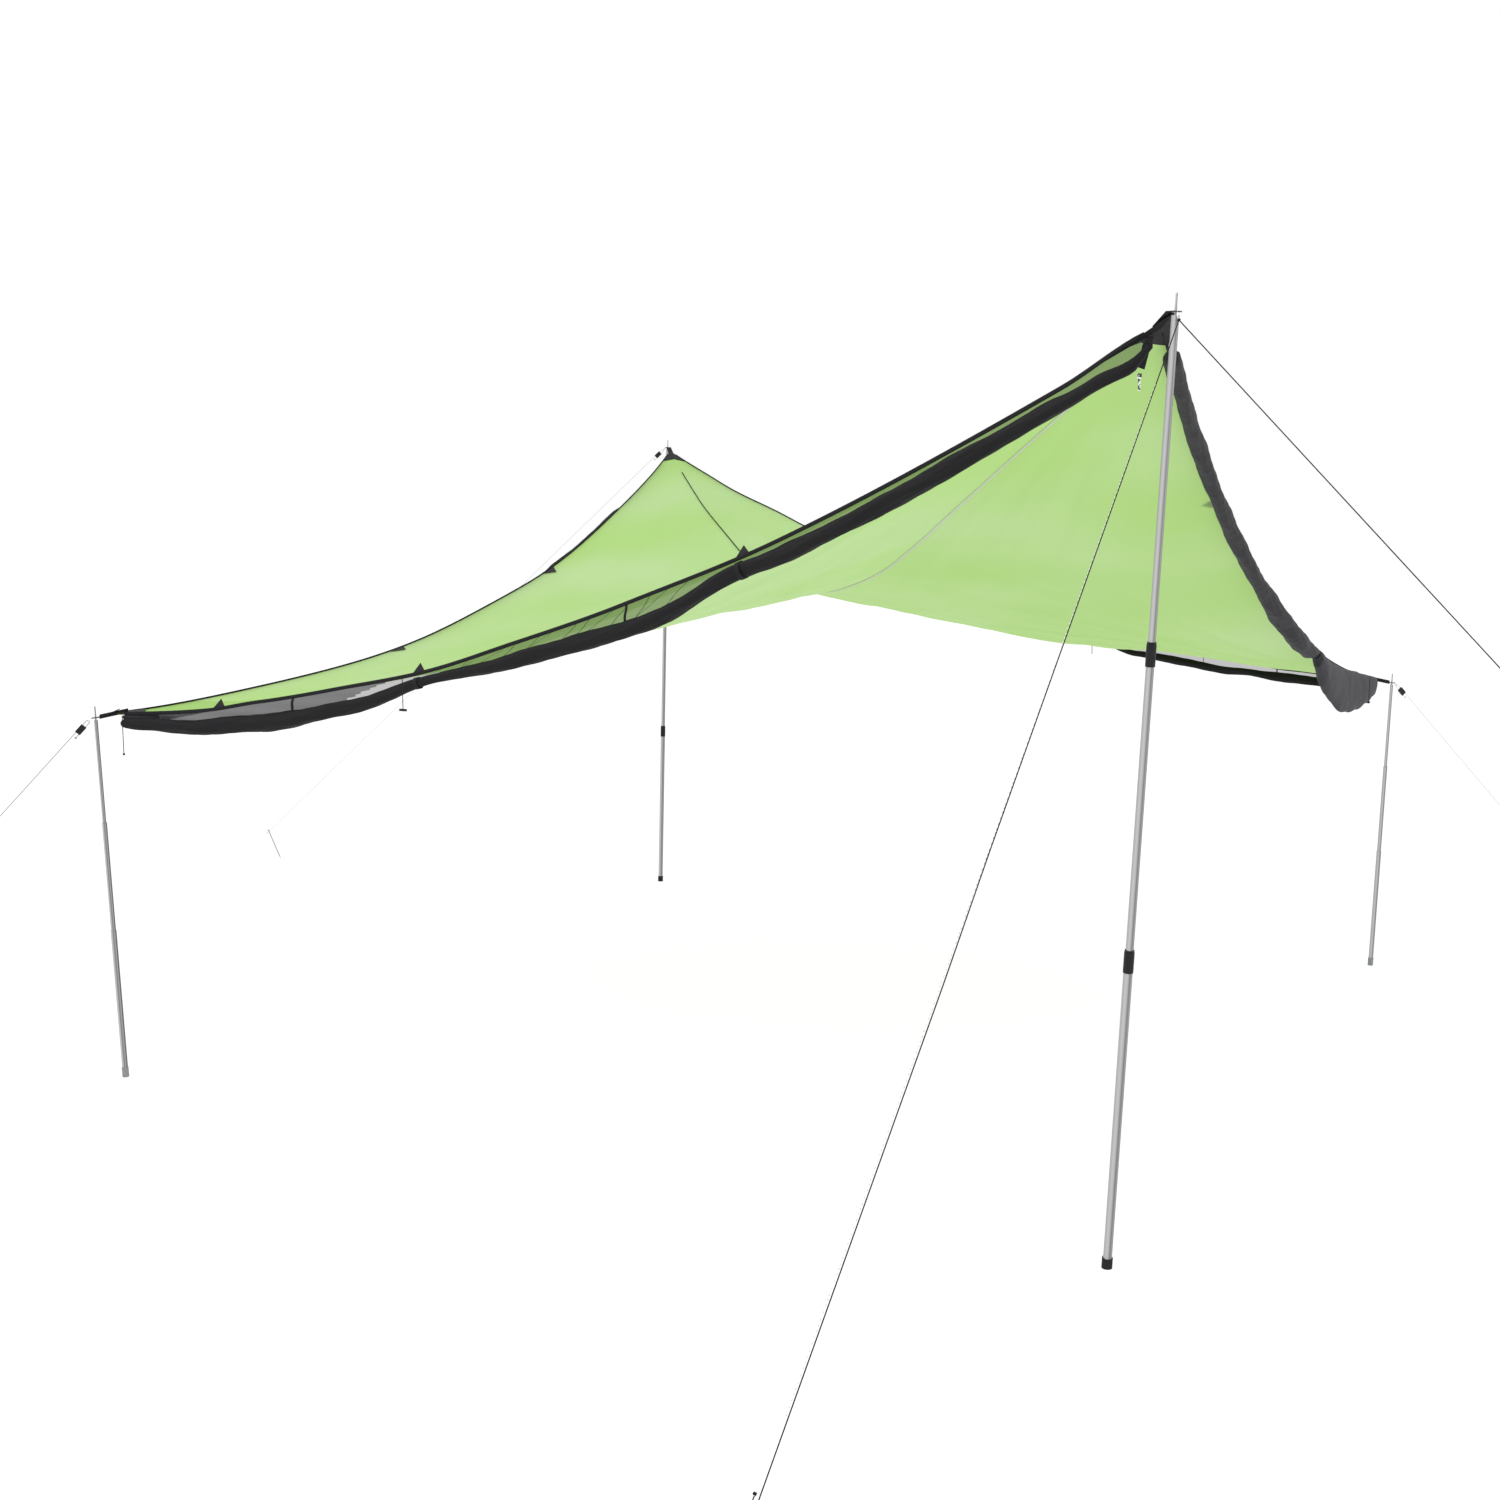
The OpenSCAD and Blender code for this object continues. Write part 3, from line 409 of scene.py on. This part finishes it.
# ---------------------------------------------------------------- guylines, made first
CORD_D = 0.0026
STRAND_GAP = 0.0114  # between the middles of the two strands
LOCK_AT = 0.034
FREE_END = LOCK_AT + 0.029
RING_REACH, RING_OUT = 0.020, 0.0125
KNOT_SIZE = 0.0042
KNOT_GAP = 0.0034  # from the free end to its knot
FAR_END, FAR_KNOT = 0.012, 0.015  # past the peg or tab: the cord's end and its knot
FRONT_KNOT = FRONT + [0, -0.015, -0.020]
PEGS = {
    "front_right": np.array([1.628, -3.658, 0.158]),
    "front_left": np.array([-1.188, -3.381, 0.158]),
    "rear_left": np.array([-2.120, 3.808, 0.158]),
    "left": np.array([-3.536, 0.0, 0.158]),
    "right": np.array([3.660, 0.0, 0.158]),
}
GUY_COLOURS = {
    "front_right": cord_black,
    "front_left": cord_black,
    "rear_left": cord_pale,
    "left": cord_grey,
    "right": cord_pale,
}


def ring_centre(eyelet_at, peg):
    """The middle of the guy ring between a tab and a peg."""
    return eyelet_at + RING_OUT * level(peg - eyelet_at) + RING_REACH * unit(peg - eyelet_at)


def guy_ends(name):
    """The middle of the guyline's turn, its far end, and whether its strands lie above each other."""
    peg = PEGS[name]
    if name.startswith("front"):
        return peg, FRONT_KNOT, False
    eyelet_at = EYELETS[name.split("_")[0]]
    return ring_centre(eyelet_at, peg), peg, True


def guy_axes(turn, end, upright):
    """The cord's direction, the direction from strand to strand and the one across both."""
    along = unit(end - turn)
    side = np.cross(level(along), UP)
    spread = np.cross(side, along) if upright else side
    return along, spread, np.cross(spread, along)


def guy_route(turn, end, upright):
    """From the stopper knot through the line lock, round the turn and to the far end."""
    d, w, _ = guy_axes(turn, end, upright)
    r = STRAND_GAP / 2
    route = [turn + s * d - r * w for s in (FREE_END, FREE_END * 0.75, FREE_END / 2, 0.02, 0.008, 0)]
    for a in range(110, 251, 20):
        a = math.radians(a)
        route.append(turn + r * (math.cos(a) * d - math.sin(a) * w))
    route += [turn + s * d + r * w for s in (0, 0.008, 0.03, 0.06, 0.1, 0.2, 0.4, 0.7, 1.0)]
    for f in (0.5, 0.7, 0.85, 1.0):
        if f * np.linalg.norm(end - turn) > 1.1 or f == 1.0:
            route.append(turn + f * (end - turn) + r * (1 - f) * w)
    if upright:
        route.append(end + FAR_END * d)
    return np.array(route)


def knot(name, at, along, mat):
    """An overhand stopper knot, drawn as a tight trefoil of cord."""
    along = unit(along)
    side = unit(np.cross(along, [0.3, 0.2, 1.0]))
    up = np.cross(side, along)
    a = np.linspace(0, 2 * math.pi, 61)
    x = (np.sin(a) + 2 * np.sin(2 * a)) / 3
    y = (np.cos(a) - 2 * np.cos(2 * a)) / 3
    z = -np.sin(3 * a) / 1.6
    loop_r, cord_r = KNOT_SIZE * 0.62, KNOT_SIZE * 0.34
    p = at + loop_r * (x[:, None] * side + y[:, None] * up + z[:, None] * along)
    return tube(name, p, cord_r, mat, 8)


KNOTS = []
for guy_name, mat in GUY_COLOURS.items():
    turn, end, upright = guy_ends(guy_name)
    route = guy_route(turn, end, upright)
    along, spread, across = guy_axes(turn, end, upright)
    cord = tube(f"guyline_{guy_name}", route, CORD_D / 2, mat, 10, ROOT, across)
    stopper = turn + (FREE_END + KNOT_GAP) * along - STRAND_GAP / 2 * spread
    far_knot = end + (FAR_KNOT * along if upright else 0)
    knots = [
        knot(f"knot_{guy_name}_free", stopper, along, mat),
        knot(f"knot_{guy_name}_far", far_knot, along, mat),
    ]
    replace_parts(cord, f"guy_{guy_name}")
    KNOTS += knots
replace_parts(KNOTS[0], "guy_knots")


def build_flecks():
    """Pale flecks in the braid of the front left guyline."""
    pitch, fleck_l, rise = 0.011, 0.0042, 0.00008
    turn, end, _ = guy_ends("front_left")
    along = unit(end - turn)
    flecks = []
    for k in range(16, 215):
        at = end - (pitch * k + 0.002 * math.sin(5.0 * k)) * along
        piece = np.array([at, at - fleck_l * along])
        flecks.append(tube(f"fleck_{k}", piece, CORD_D / 2 + rise, cord_fleck, 6))
    join("guyline_flecks", flecks)


def build_front_loop():
    """The short loop through the front tab that both front guylines are knotted to."""
    for strand, shift in (("a", -0.0022), ("b", 0.0022)):
        foot = FRONT_KNOT + [shift * 0.4, 0, 0]
        top = FRONT + [shift, -0.0110, 0.0012]
        middle = (foot + top) / 2 + [shift, -0.001, 0]
        tube(f"front_loop_{strand}", [foot, middle, top], CORD_D / 2, cord_fleck, 8)


build_flecks()
build_front_loop()

# ---------------------------------------------------------------- canopy cloth
CLOTH_N = 176  # cells along a side


def ripples(u, v):
    """Fine tension ripples that fan out from the four corners, in metres."""
    height = np.zeros_like(u)
    fans = (
        (u, v, 0.0030, 1.0),
        (1 - u, 1 - v, 0.0026, 2.3),
        (u, 1 - v, 0.0020, 4.1),
        (1 - u, v, 0.0022, 5.2),
    )
    for a, b, size, phase in fans:
        r = np.hypot(a, b)
        angle = np.arctan2(b, a)
        reach = np.clip(r / 0.25, 0, 1) * np.clip(1.15 - r, 0, 1)
        wave = np.sin(31 * angle + phase) + 0.6 * np.sin(57 * angle + 2 * phase)
        wave += 0.5 * np.sin(97 * angle + 3 * phase + 6 * r)
        height += size * reach * wave
    edge = np.minimum(np.minimum(u, 1 - u), np.minimum(v, 1 - v))
    return height * np.clip((edge - 0.02) / 0.06, 0, 1) * np.clip(np.abs(u - v) / 0.04, 0, 1)


def in_doubled_or_shade_band(i, j):
    """Whether a cell of the cloth lies in the darker band: the doubled hem by the rear right and front
    left hems, which on the front left widens into painted shade where the cloth turns down.
    """
    # The widening is painted shade on the cloth where it turns down towards the front left hem
    widening = 10 * max(0.0, min(1.0, (j / CLOTH_N - 0.35) / 0.3))
    front_left = i < 4 + widening and j > 30
    rear_right = i > CLOTH_N - 6 and j < 90
    return front_left or rear_right


def build_canopy():
    """The cloth: one rippled sheet, creased along the ridge."""
    s = np.linspace(0, 1, CLOTH_N + 1)
    u, v = np.meshgrid(s, s, indexing="ij")
    points = canopy_point(u, v)
    points[..., 2] += ripples(u, v)
    faces = []
    n = CLOTH_N + 1
    for i in range(CLOTH_N):
        for j in range(CLOTH_N):
            quad = (i * n + j, (i + 1) * n + j, (i + 1) * n + j + 1, i * n + j + 1)
            if i == j:
                faces += [(quad[0], quad[1], quad[2]), (quad[0], quad[2], quad[3])]
            else:
                faces.append(quad)
    # Faces in the doubled hem band or in the painted shade band take the second material
    band_faces = [int(in_doubled_or_shade_band(*divmod(face[0], n))) for face in faces]
    obj = new_mesh("canopy_cloth", points, faces, [cloth, cloth_doubled_or_shade], faces_mat=band_faces)
    ridge = set(i * n + i for i in range(n))
    for edge in obj.data.edges:
        if edge.vertices[0] in ridge and edge.vertices[1] in ridge:
            edge.use_edge_sharp = True
    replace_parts(obj, "canopy")


build_canopy()


# ---------------------------------------------------------------- ridge and hems
def build_ridge():
    """The seam tape under the ridge and the dark cord over it."""
    s = np.linspace(0.045, 0.955, 110)
    half_w = 0.0011  # of the tape, as a share of the cloth's side
    tape_drop, cord_rise, cord_r = 0.0021, 0.0033, 0.0021
    across = np.array([-1.0, 0.0, 1.0]) * half_w
    grid = canopy_point(s[:, None] + across[None], s[:, None] - across[None])
    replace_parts(sheet("ridge_seam_tape", grid, tape, at=-tape_drop), "ridge_tape")
    line = canopy_point(s, s) + UP * cord_rise
    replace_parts(tube("ridge_seam_cord", line, cord_r, webbing, 8), "ridge_piping")


def band_rings(points, side_dir, width, height):
    """Rings of a flat band with bevelled edges along points."""
    corners = (
        (0.5, -0.35), (0.5, 0.35), (0.3, 0.5), (-0.3, 0.5), (-0.5, 0.35), (-0.5, -0.35),
        (-0.3, -0.5), (0.3, -0.5),
    )
    offs = np.array([a * width * side_dir + b * height * UP for a, b in corners])
    return points[:, None] + offs[None]


def build_hems():
    """Hem tape round all four edges."""
    parts = []
    t = np.linspace(0.012, 0.988, 150)
    for side in SIDES:
        rings = band_rings(hem(side, t), outward(side), HEM_T, HEM_H)
        parts.append(rings_mesh(f"hem_{side}", rings, webbing))
    whole = join("hem_tape", parts)
    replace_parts(whole, "edge_hem")


build_ridge()
build_hems()

# ---------------------------------------------------------------- patches
PATCH_LEG = 0.115 / 3.7  # as a share of the 3.7 m from corner to corner


def corner_uv(which, a, b):
    """u and v in a corner's triangle: a runs away from the corner, b from hem to hem."""
    p = PATCH_LEG * a * (1 - b) + 0.0005
    q = PATCH_LEG * a * b + 0.0005
    return {"front": (p, q), "right": (1 - p, q), "rear": (1 - p, 1 - q), "left": (p, 1 - q)}[which]


def build_corner_patches():
    """Grey triangles on both faces of each corner."""
    parts = []
    a, b = np.meshgrid(np.linspace(0.02, 1, 9), np.linspace(0, 1, 13), indexing="ij")
    for which in CORNERS:
        grid = canopy_point(*corner_uv(which, a, b))
        parts.append(sheet(f"patch_{which}_top", grid, patch_cloth, 0.0012, at=0.0030))
        parts.append(sheet(f"patch_{which}_under", grid, patch_cloth, 0.0012, at=-0.0042))
    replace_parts(join("corner_patch_set", parts), "corner_patches")


FOLD_W, FOLD_H = 0.006, 0.015


def build_corner_folds():
    """Bunched webbing from the low corners to the pins, and gussets that close the front corner."""
    for which in ("left", "right"):
        start, end = CORNERS[which], EYELETS[which]
        across = level(np.cross(UP, start - end))
        f = np.linspace(-0.8, 0.78, 12)
        line = start + f[:, None] * (end - start)
        rings_mesh(f"tab_fold_{which}", band_rings(line, across, FOLD_W, FOLD_H), webbing)
    pin_side = FRONT + [0.004, 0.017, -0.001]
    corner = CORNERS["front"] - UP * 0.006
    for side in ("front_left", "front_right"):
        low = hem(side, 0.045) - UP * 0.004
        steps = np.linspace(0, 1, 6)[:, None]
        edges = [start + steps * (low - start) for start in (pin_side, corner)]
        grid = np.stack(edges, axis=1)
        sheet(f"gusset_{side}", grid, webbing, 0.0010)


# Places of the tie-out triangles along each hem
TIE_OUTS = {
    "front_left": (0.335, 0.665, 0.885),
    "front_right": (0.335, 0.665),
    "rear_left": (0.383, 0.665),
    "rear_right": (0.335, 0.665),
}


def build_tie_outs():
    """Small grey triangles on the hems."""
    parts = []
    a, b = np.meshgrid(np.linspace(0, 0.97, 6), np.linspace(-1, 1, 7), indexing="ij")
    for side, places in TIE_OUTS.items():
        for t in places:
            name = f"tie_out_{side}_{t}"
            if side == "front_left":
                # The roll ties pull these up, so that they stand above the hem
                foot = canopy_point(*side_uv(side, t + b * 0.0068 * (1 - a), 0.001 + a * 0.003))
                standing = foot + (0.003 + 0.030 * a)[..., None] * UP
                parts.append(sheet(name, standing, patch_cloth))
            else:
                lying = canopy_point(*side_uv(side, t + b * 0.011 * (1 - a), 0.002 + a * 0.014))
                parts.append(sheet(name, lying, patch_cloth, 0.0010, at=0.0032))
    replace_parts(join("tie_out_set", parts), "tie_out_patches")


build_corner_patches()
build_corner_folds()
build_tie_outs()

# ---------------------------------------------------------------- net walls
# Each roll: place along the hem, middle outwards, middle down, half width, half height, in mm
ROLLS = {
    "front_left": (
        (0.006, 0, 34, 9, 9), (0.02, 0, 56, 16, 16), (0.05, 0, 42, 20, 20), (0.08, 0, 36, 23, 23),
        (0.2, 0, 43, 27, 27), (0.28, 0, 45, 27, 27), (0.335, 0, 36, 23, 23), (0.42, 0, 76, 28, 28),
        (0.56, 0, 54, 25, 25), (0.65, 0, 28, 16, 16), (0.74, 0, 65, 24, 24), (0.81, 0, 73, 31, 31),
        (0.9, 0, 57, 26, 26), (0.97, 0, 36, 23, 23), (0.99, 0, 32, 20, 20),
    ),
    "front_right": (
        (0.03, 14, 31, 21, 21), (0.2, 15, 31, 22, 22), (0.4, 18, 33, 24, 24),
        (0.5, 20, 34, 26, 26), (0.6, 22, 42, 33, 33), (0.66, 25, 48, 37, 37),
        (0.7, 24, 42, 31, 31), (0.74, 22, 30, 18, 18), (0.752, 25, 50, 22, 40),
        (0.765, 27, 76, 24, 62), (0.78, 27, 87, 24, 73), (0.8, 27, 92, 24, 79),
        (0.83, 27, 99, 24, 91), (0.86, 27, 90, 24, 88), (0.894, 27, 74, 24, 78),
        (0.926, 27, 54, 24, 62), (0.945, 27, 38, 22, 46), (0.958, 26, 12, 16, 20),
    ),
    "rear_left": (
        (0.03, 0, 32, 15, 15), (0.15, 0, 34, 17, 17), (0.2, 20, 18, 17, 17),
        (0.36, 20, 17, 17, 17), (0.42, 0, 32, 15, 15), (0.665, 0, 34, 15, 15),
        (0.97, 0, 32, 15, 15),
    ),
    "rear_right": (
        (0.03, 0, 32, 15, 15), (0.14, 2, 33, 15, 15), (0.22, 22, 18, 15, 15),
        (0.28, 26, 2, 15, 15), (0.335, 24, -20, 17, 17), (0.66, 20, -20, 16, 16),
    ),
    "rear_right_loose": (
        (0.695, 0, 20, 9, 9), (0.72, 0, 28, 13, 13), (0.78, 0, 48, 20, 20),
        (0.82, 0, 51, 17, 17), (0.86, 0, 42, 15, 15), (0.9, 0, 37, 20, 20), (0.97, 0, 34, 18, 18),
    ),
}
# Places along the hem where the hanging bag, the dense net and the grey corner begin
BAG_FROM, DENSE_NET_FROM, CORNER_FROM = 0.745, 0.70, 0.95


def build_roll(key, mat, steps=260):
    """A loosely wound net, whose rings wobble about the roll's half width and half height."""
    side = key.replace("_loose", "")
    rows = ROLLS[key]
    t = np.linspace(rows[0][0], rows[-1][0], steps)
    out, down, half_w, half_h = (smooth_column(rows, t, k) * MM for k in (1, 2, 3, 4))
    n = 40
    a = np.linspace(0, 2 * math.pi, n, endpoint=False)
    wave = (
        0.10 * np.sin(2 * a[None] + 34 * t[:, None])
        + 0.07 * np.sin(3 * a[None] - 61 * t[:, None] + 1)
        + 0.045 * np.sin(7 * a[None] + 120 * t[:, None])
        + 0.035 * np.sin(11 * a[None] - 210 * t[:, None] + 2)
        + 0.060 * np.sin(2 * a[None] - 95 * t[:, None] + 0.7)
    )
    bag = np.clip((t - BAG_FROM) / 0.02, 0, 1) if key == "front_right" else np.zeros_like(t)
    size = 0.95 + (0.7 * wave) * (1 - 0.8 * bag[:, None])
    ends = np.clip(np.minimum(t - rows[0][0], rows[-1][0] - t) / 0.004, 0.35, 1) ** 0.5
    size = size * ends[:, None]
    middle = hem(side, t) + out[:, None] * outward(side) - down[:, None] * UP
    rings = (
        middle[:, None]
        + (size * half_w[:, None] * np.cos(a))[..., None] * outward(side)
        + (size * half_h[:, None] * np.sin(a))[..., None] * UP
    )
    roll = rings_mesh(f"net_roll_{key}", rings, mat)
    # Painted light: the upper part of the front right roll takes the half-lit copy and the bag the fully
    # lit one
    if key == "front_right":
        roll.data.materials.append(roll_cloth_half_lit)
        for face in roll.data.polygons:
            if len(face.vertices) == 4 and t[face.vertices[0] // n] < BAG_FROM:
                face.material_index = 1
    return roll


# Folds and straps in the hanging net: place along the hem, lean and width in grid steps, material
FOLDS = {
    "front_left": [
        (0.385 + 0.019 * k + 0.004 * math.sin(3.0 * k), 8 + 4 * math.sin(2.0 * k), 0.55, net_sheer)
        for k in range(14)
    ]
    + [(0.445, 0.5, 0.8, webbing), (0.80, 0.8, 0.9, webbing)],
    "front_right": [],
    "rear_right_loose": [(0.80, 0.6, 0.8, webbing), (0.885, 0.3, 1.6, webbing)],
}


def build_curtain(key, steps=300):
    """The thin net between the hem and the top of its roll, with soft folds."""
    side = key.replace("_loose", "")
    rows = ROLLS[key]
    t = np.linspace(rows[0][0], rows[-1][0], steps)
    out, down, _, half_h = (smooth_column(rows, t, k) * MM for k in (1, 2, 3, 4))
    edge = hem(side, t) - UP * (HEM_H / 2)
    h = np.linspace(0, 1, 9)
    depth = np.maximum(down - HEM_H / 2 - half_h * 0.5, 0.004)[:, None] * h[None]
    fold = 0.0035 * np.sin(95 * t[:, None] + 5 * h[None]) * np.sin(np.pi * h)[None]
    reach = (out * 0.8)[:, None] * h[None] + fold
    grid = edge[:, None] - depth[..., None] * UP + reach[..., None] * outward(side)
    curtain = sheet(f"net_curtain_{key}", grid, [net_sheer, net_dense, patch_cloth])
    for face in curtain.data.polygons:
        row, below_hem = divmod(face.vertices[0], len(h))
        if key == "front_left" and t[row] > DENSE_NET_FROM + 0.008 * below_hem:
            face.material_index = 2 if t[row] > CORNER_FROM else 1
    pieces = [curtain]
    for k, (place, lean, width, mat) in enumerate(FOLDS[key]):
        line = np.interp(place, t, np.arange(steps)) + lean * h
        strip = []
        for shift in (0.0, width):
            x = np.clip(line + shift, 0, steps - 1.001)
            low = np.floor(x).astype(int)
            share = (x - low)[:, None]
            column = np.arange(len(h))
            strip.append((1 - share) * grid[low, column] + share * grid[low + 1, column])
        fold_grid = np.stack(strip, axis=1) + 0.002 * outward(side)
        pieces.append(sheet(f"net_fold_{key}_{k}", fold_grid, mat))
    return join(f"net_curtain_{key}", pieces)


for roll_key, roll_mat in (
    ("front_left", roll_cloth),
    ("front_right", roll_cloth_lit),
    ("rear_left", roll_cloth),
    ("rear_right", roll_cloth),
    ("rear_right_loose", roll_cloth),
):
    roll = build_roll(roll_key, roll_mat)
    if roll_key != "rear_right_loose":
        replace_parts(roll, f"net_{roll_key}")
    if roll_key in ("front_left", "front_right", "rear_right_loose"):
        build_curtain(roll_key)

# ---------------------------------------------------------------- poles and small parts of the CAD
FINISH_BY_KIND = {
    "foot": rubber,
    "lock": plastic,
    "bush": plastic,
    "tube": alloy,
    "tip": alloy,
}
FINISH_BY_NAME = {
    "left_foot": ferrule,
    "right_foot": ferrule,
    "corner_tabs": webbing,
    "roll_ties": webbing,
    "door_strap": webbing,
    "grommets": eyelet,
    "zip_slider": beads,
    "ground_pegs": peg_steel,
    "guy_rings": ring_plastic,
}


def finish_cad_parts():
    """Materials for the pieces that keep their CAD shape."""
    for name, obj in NODES.items():
        kind = name.rsplit("_", 1)[-1]
        mat = FINISH_BY_NAME.get(name, FINISH_BY_KIND.get(kind))
        if name.startswith(("lock_", "toggle_")):
            mat = plastic
        if mat and not obj.hide_render:
            obj.data.materials.clear()
            obj.data.materials.append(mat)


finish_cad_parts()

# ---------------------------------------------------------------- floor and light
floor_mesh = bpy.data.meshes.new("floor")
HALF_FLOOR = 60.0
floor_signs = ((-1, -1), (1, -1), (1, 1), (-1, 1))
floor_corners = [(x * HALF_FLOOR, y * HALF_FLOOR, 0) for x, y in floor_signs]
floor_mesh.from_pydata(floor_corners, [], [(0, 1, 2, 3)])
floor = bpy.data.objects.new("floor", floor_mesh)
bpy.context.scene.collection.objects.link(floor)
floor_mat = material("floor", (0.2, 0.2, 0.2), 0.9)
floor_shader = floor_mat.node_tree.nodes["Principled BSDF"]
floor_shader.inputs["Emission Color"].default_value = (1, 1, 1, 1)
floor_shader.inputs["Emission Strength"].default_value = 0.86
floor_shader.inputs["Specular IOR Level"].default_value = 0.0
floor_mesh.materials.append(floor_mat)
floor.location.z = -0.0005

world = bpy.data.worlds.new("studio")
bpy.context.scene.world = world
world.use_nodes = True
world.node_tree.nodes["Background"].inputs["Color"].default_value = (1, 1, 1, 1)
world.node_tree.nodes["Background"].inputs["Strength"].default_value = 1.0


def area_light(name, at, target, size, power):
    """A soft light that faces a target."""
    data = bpy.data.lights.new(name, "AREA")
    data.size = size
    data.energy = power
    light = bpy.data.objects.new(name, data)
    bpy.context.scene.collection.objects.link(light)
    light.location = at
    light.rotation_euler = (Vector(target) - Vector(at)).to_track_quat("-Z", "Y").to_euler()


area_light("key", (-6, -5, 9), (0, 0, 1.5), 6, 420)
area_light("fill", (6, -8, 4), (0, 0, 1.5), 6, 160)
